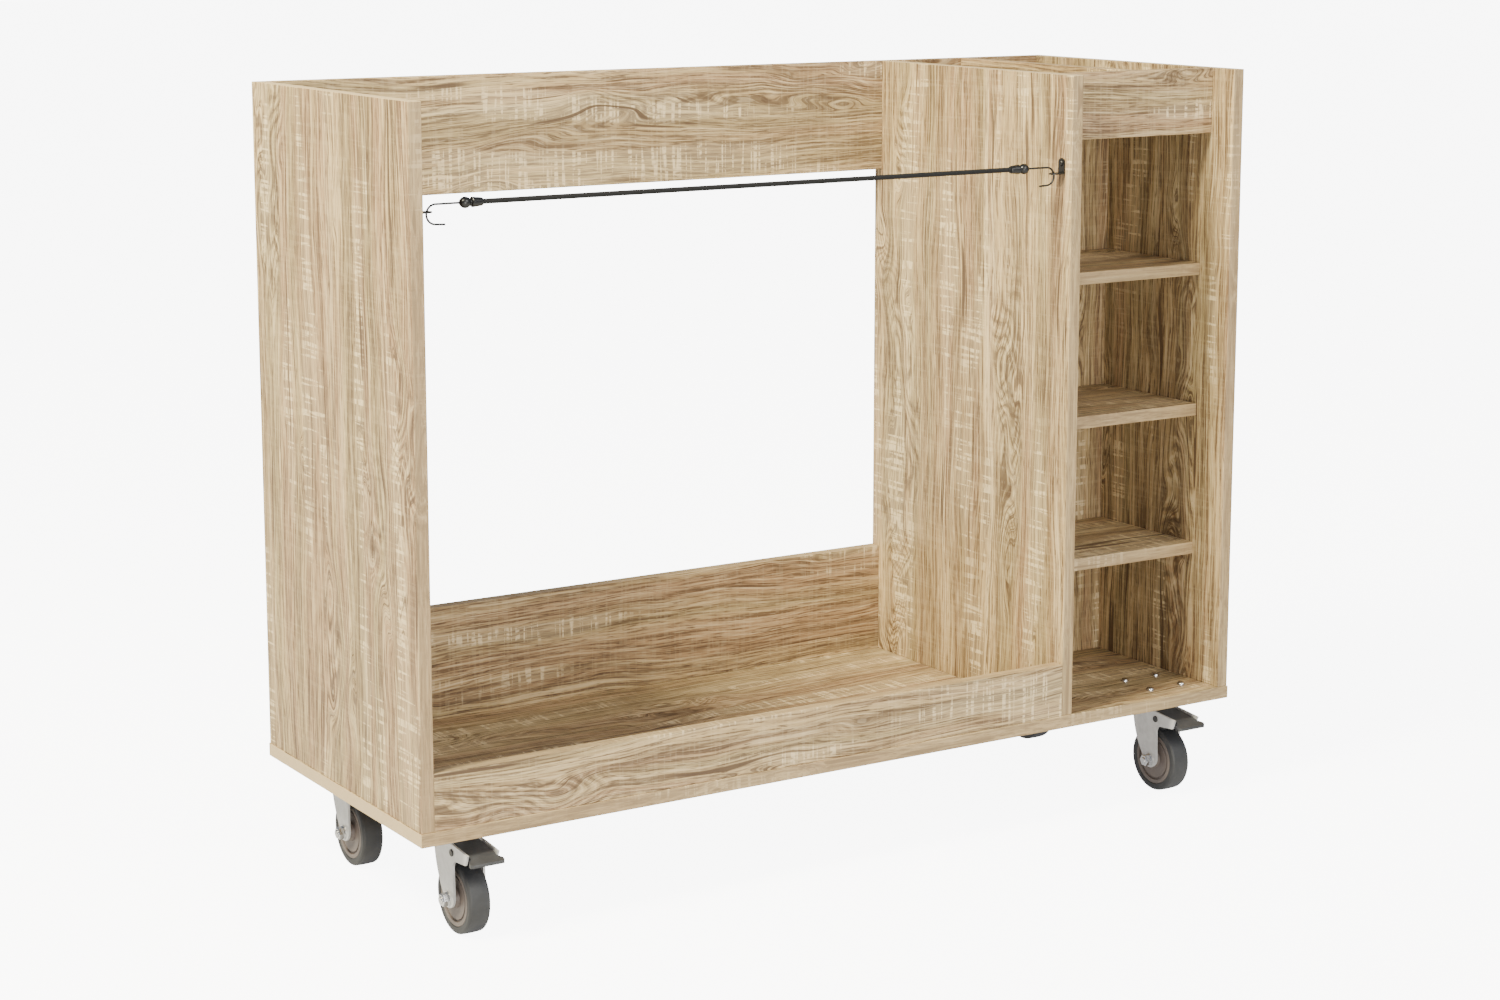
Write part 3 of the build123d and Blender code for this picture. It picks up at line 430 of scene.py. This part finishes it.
def speckled(
    name, base, roughness, metallic=0.0, variation=0.12, relief=0.1, depth=0.0001, coarse=60.0, fine=900.0
):
    """A moulded, plated or painted surface with slight cloudiness and grain."""
    made, tree, shader, place = new_material(name)
    spots = use(tree, "Surface speckle", Place=place.outputs["Object"], Coarse=coarse, Fine=fine)
    dark = tuple(part * (1 - variation) for part in base)
    light = tuple(min(1.0, part * (1 + variation)) for part in base)
    tone = blend(tree, ramp(tree, spots.outputs["Cloud"], 0.3, 0.7), paint(dark), paint(light))
    tree.links.new(tone, shader.inputs["Base Color"])
    rough = calc(tree, "MULTIPLY_ADD", spots.outputs["Cloud"], 0.16, roughness - 0.08)
    tree.links.new(rough, shader.inputs["Roughness"])
    shader.inputs["Metallic"].default_value = metallic
    bump(tree, shader, spots.outputs["Grain"], relief, depth)
    return made


def tyre_material():
    """Rubber with faint moulding rings round the tread and cloudy wear."""
    tones = settings("casters")
    made, tree, shader, place = new_material("tyre rubber")
    spots = use(tree, "Surface speckle", Place=place.outputs["Object"], Coarse=45.0, Fine=1400.0)
    apart = put(tree, "ShaderNodeSeparateXYZ", place.outputs["Object"]).outputs
    rings = calc(tree, "SINE", calc(tree, "MULTIPLY", apart["X"], 4200.0))
    worn = tuple(part * 1.5 for part in tones.tyre)
    tone = blend(tree, ramp(tree, spots.outputs["Cloud"], 0.35, 0.75), paint(tones.tyre), paint(worn))
    tree.links.new(tone, shader.inputs["Base Color"])
    rough = calc(tree, "MULTIPLY_ADD", spots.outputs["Cloud"], 0.2, 0.45)
    tree.links.new(rough, shader.inputs["Roughness"])
    height = calc(tree, "MULTIPLY_ADD", rings, 0.12, spots.outputs["Grain"])
    bump(tree, shader, height, 0.25, 0.0002)
    return made


def cord_material():
    """Black braid: the relief is in the mesh, the sheen and thread streaks are here."""
    made, tree, shader, place = new_material("cord braid")
    spots = use(tree, "Surface speckle", Place=place.outputs["Object"], Coarse=700.0, Fine=2600.0)
    black = settings("cord").black
    tone = blend(tree, spots.outputs["Cloud"], paint(black), paint([part * 3 for part in black]))
    tree.links.new(tone, shader.inputs["Base Color"])
    shader.inputs["Roughness"].default_value = 0.62
    shader.inputs["Specular IOR Level"].default_value = 0.25
    shader.inputs["Sheen Weight"].default_value = 0.06
    bump(tree, shader, spots.outputs["Grain"], 0.4, 0.0002)
    return made


# ---------------------------------------------------------------- meshes from surfaces
def tube_faces(rings, sides):
    """Quads of a tube of rings of points. The last point of a ring joins its first."""
    ring, side = np.meshgrid(np.arange(rings - 1), np.arange(sides), indexing="ij")
    after = (side + 1) % sides
    here, there = ring * sides, (ring + 1) * sides
    return np.stack([here + side, here + after, there + after, there + side], -1).reshape(-1, 4)


def make_piece(name, points, faces, material, body):
    """A mesh object in the row frame that rides on a body."""
    mesh = bpy.data.meshes.new(name)
    mesh.from_pydata(points.reshape(-1, 3).tolist(), [], [list(map(int, face)) for face in faces])
    mesh.update()
    mesh.shade_smooth()
    mesh.materials.append(material)
    piece = bpy.data.objects.new(name, mesh)
    bpy.context.scene.collection.objects.link(piece)
    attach(piece, body)
    return piece


def dress(node, material):
    """Puts a material on a CAD node."""
    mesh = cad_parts[node].data
    mesh.materials.clear()
    mesh.materials.append(material)


# ---------------------------------------------------------------- operators
class RACK_OT_boards(bpy.types.Operator):
    """Oak laminate on every board, each with its own place in the print."""

    bl_idname = "rack.boards"
    bl_label = "Boards"

    def execute(self, context):
        for board in GRAIN:
            dress(board, laminate_material(board))
        return {"FINISHED"}


class RACK_OT_fixings(bpy.types.Operator):
    """Finish of dowels, screws, bolts and brackets."""

    bl_idname = "rack.fixings"
    bl_label = "Fixings"

    def execute(self, context):
        tones = settings("casters")
        black = settings("cord").black
        bright = speckled("bright steel", tones.bright, 0.24, 1.0, 0.05, 0.05, 0.00005)
        coat_black = [part * 1.6 for part in black]
        coated = speckled("black coated steel", coat_black, 0.38, 0.0, 0.2, 0.12, 0.0001, 90, 1500)
        dress("dowels", speckled("dowel beech", (0.55, 0.38, 0.22), 0.6))
        dress("base_screws", speckled("yellow zinc screws", (0.62, 0.54, 0.36), 0.32, 1.0))
        dress("caster_bolts", bright)
        dress("kingpins", bright)
        dress("bracket_screws", coated)
        for side in SIDES:
            dress(side + "_cord_bracket", coated)
            dress(side + "_cord_hook", coated)
        return {"FINISHED"}


class RACK_OT_casters(bpy.types.Operator):
    """Finish of the casters' metal, rubber and moulded pieces."""

    bl_idname = "rack.casters"
    bl_label = "Casters"

    def execute(self, context):
        tones = settings("casters")
        zinc = speckled("zinc plate", tones.zinc, 0.40, 0.35, 0.08, 0.08, 0.0001, 120, 1600)
        bright = bpy.data.materials["bright steel"]
        bush = speckled("bush plastic", (0.6, 0.6, 0.57), 0.5)
        rubber = tyre_material()
        hub = speckled("hub moulding", tones.hub, 0.5, 0.0, 0.06, 0.15, 0.00015, 40, 1100)
        pedal = speckled("pedal moulding", tones.pedal, 0.42, 0.0, 0.15, 0.3, 0.0002, 60, 1700)
        # Pedal pin: its near-black colour is painted shade. It stands in for the dark mark that shade
        # makes round the pin's end at the pedal's pivot.
        pin = speckled("pin painted dark as shade", (0.03, 0.03, 0.031), 0.45, 0.3)
        for corner in CORNERS:
            dress(corner + "_caster_plate", zinc)
            dress(corner + "_swivel_fork", zinc)
            dress(corner + "_race_balls", bright)
            dress(corner + "_axle_bolt", bright)
            dress(corner + "_wheel_bush", bush)
            dress(corner + "_wheel_hub", hub)
            dress(corner + "_tyre", rubber)
            if corner in BRAKED:
                dress(corner + "_brake_pedal", pedal)
                dress(corner + "_pedal_pin", pin)
        return {"FINISHED"}


class RACK_OT_cord(bpy.types.Operator):
    """The stretched elastic cord, braided round its straight route."""

    bl_idname = "rack.cord"
    bl_label = "Elastic cord"

    def execute(self, context):
        braid = settings("cord")
        # Radius of the braid: r = R * (1 - dip + dip * max over both hands of |cos|), where each
        # hand's strands turn once per pitch.
        along = np.linspace(CORD_START, CORD_END, CORD_RINGS)[:, None]
        angle = np.linspace(0, 2 * np.pi, CORD_SIDES, endpoint=False)[None]
        turn = 2 * np.pi * (along - CORD_START) / braid.pitch
        right = np.cos(braid.strands / 2 * (angle + turn))
        left = np.cos(braid.strands / 2 * (angle - turn))
        crest = np.maximum(np.abs(right), np.abs(left))
        radius = CORD_RADIUS * (1 - BRAID_DIP + BRAID_DIP * crest)
        points = np.stack(
            [
                along + 0 * angle,
                CORD_AXIS.y + radius * np.cos(angle),
                CORD_AXIS.z + radius * np.sin(angle),
            ],
            -1,
        )
        faces = [list(face) for face in tube_faces(CORD_RINGS, CORD_SIDES)]
        count = CORD_RINGS * CORD_SIDES
        faces += [list(range(CORD_SIDES - 1, -1, -1)), list(range(count - CORD_SIDES, count))]
        piece = make_piece("elastic_cord_braid", points, faces, cord_material(), "carcass")
        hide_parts("elastic_cord")
        end_black = [part * 1.5 for part in braid.black]
        moulding = speckled("cord end moulding", end_black, 0.32, 0.0, 0.2, 0.2, 0.0002, 200, 1500)
        for side in SIDES:
            dress(side + "_cord_ferrule", moulding)
        return {"FINISHED"}


class RACK_OT_studio(bpy.types.Operator):
    """Camera, pale floor and soft light."""

    bl_idname = "rack.studio"
    bl_label = "Studio"

    def execute(self, context):
        stage = settings("studio")
        scene = context.scene
        data = bpy.data.cameras.new("camera")
        data.lens = stage.focal_length
        data.sensor_width = SENSOR_WIDTH
        data.shift_y = stage.shift
        data.clip_end = CAMERA_REACH
        camera = bpy.data.objects.new("camera", data)
        camera.location = stage.camera_place
        camera.rotation_euler = (math.pi / 2 - stage.camera_pitch, 0.0, -stage.camera_turn)
        scene.collection.objects.link(camera)
        scene.camera = camera

        made, tree, shader, _ = new_material("studio floor")
        shader.inputs["Base Color"].default_value = paint(stage.floor)
        shader.inputs["Roughness"].default_value = 0.8
        shader.inputs["Specular IOR Level"].default_value = 0.1
        seen = tree.nodes.new("ShaderNodeLightPath").outputs["Is Camera Ray"]
        shader.inputs["Emission Color"].default_value = paint(WHITE)
        strength = calc(tree, "MULTIPLY_ADD", seen, stage.glow, stage.bounce)
        tree.links.new(strength, shader.inputs["Emission Strength"])
        mesh = bpy.data.meshes.new("studio_floor")
        reach = FLOOR_REACH
        corners = [(-reach, -reach, 0), (reach, -reach, 0), (reach, reach, 0), (-reach, reach, 0)]
        mesh.from_pydata(corners, [], [(0, 1, 2, 3)])
        mesh.materials.append(made)
        floor = bpy.data.objects.new("studio_floor", mesh)
        scene.collection.objects.link(floor)

        # Name, where it comes from, distance, size, share of the key's power, colour.
        lights = (
            ("key light", stage.key_from, 4.0, 1.2, 1.0, stage.warmth),
            ("front fill", (0.2, -1.0, 0.75), 4.5, 2.5, 0.25, (1.0, 0.98, 0.94)),
            ("low fill", (-0.30, -1.0, 0.09), 4.5, 1.6, 0.20, (1.0, 0.96, 0.88)),
        )
        for name, origin, distance, size, share, tint in lights:
            direction = Vector(origin).normalized()
            lamp = bpy.data.lights.new(name, "AREA")
            lamp.size = size
            lamp.energy = stage.key_power * share
            lamp.color = tint
            item = bpy.data.objects.new(name, lamp)
            item.location = LIGHT_TARGET + direction * distance
            item.rotation_euler = (-direction).to_track_quat("-Z", "Y").to_euler()
            scene.collection.objects.link(item)
        world = bpy.data.worlds.new("studio")
        world.use_nodes = True
        sky_tree = world.node_tree
        sky = next(node for node in sky_tree.nodes if node.type == "BACKGROUND")
        seen = sky_tree.nodes.new("ShaderNodeLightPath").outputs["Is Camera Ray"]
        sky_tint = blend(sky_tree, seen, paint(stage.shade), paint(WHITE))
        sky_tree.links.new(sky_tint, sky.inputs["Color"])
        strength = calc(sky_tree, "MULTIPLY_ADD", seen, stage.glow + 1.0, stage.fill)
        sky_tree.links.new(strength, sky.inputs["Strength"])
        scene.world = world
        return {"FINISHED"}


class RACK_PT_panel(bpy.types.Panel):
    """The rack's pieces."""

    bl_idname = "RACK_PT_panel"
    bl_label = "Rolling rack"
    bl_space_type = "VIEW_3D"
    bl_region_type = "UI"
    bl_category = "Rack"

    def draw(self, context):
        for operator in OPERATORS:
            self.layout.operator(operator.bl_idname)


SETTINGS = {
    "laminate": RackLaminateSettings,
    "casters": RackCasterSettings,
    "cord": RackCordSettings,
    "studio": RackStudioSettings,
}
OPERATORS = (RACK_OT_boards, RACK_OT_fixings, RACK_OT_casters, RACK_OT_cord, RACK_OT_studio)


def register():
    """Registers the settings, operators and panel."""
    for name, kind in SETTINGS.items():
        bpy.utils.register_class(kind)
        setattr(bpy.types.Scene, "rack_" + name, PointerProperty(type=kind))
    for kind in (*OPERATORS, RACK_PT_panel):
        bpy.utils.register_class(kind)


def unregister():
    """Takes them out again."""
    for kind in (RACK_PT_panel, *reversed(OPERATORS)):
        bpy.utils.unregister_class(kind)
    for name, kind in SETTINGS.items():
        delattr(bpy.types.Scene, "rack_" + name)
        bpy.utils.unregister_class(kind)


def main():
    """Builds everything."""
    register()
    make_laminate_group()
    make_speckle_group()
    for operator in OPERATORS:
        group_name, call = operator.bl_idname.split(".")
        getattr(getattr(bpy.ops, group_name), call)()


if __name__ == "__main__":
    main()
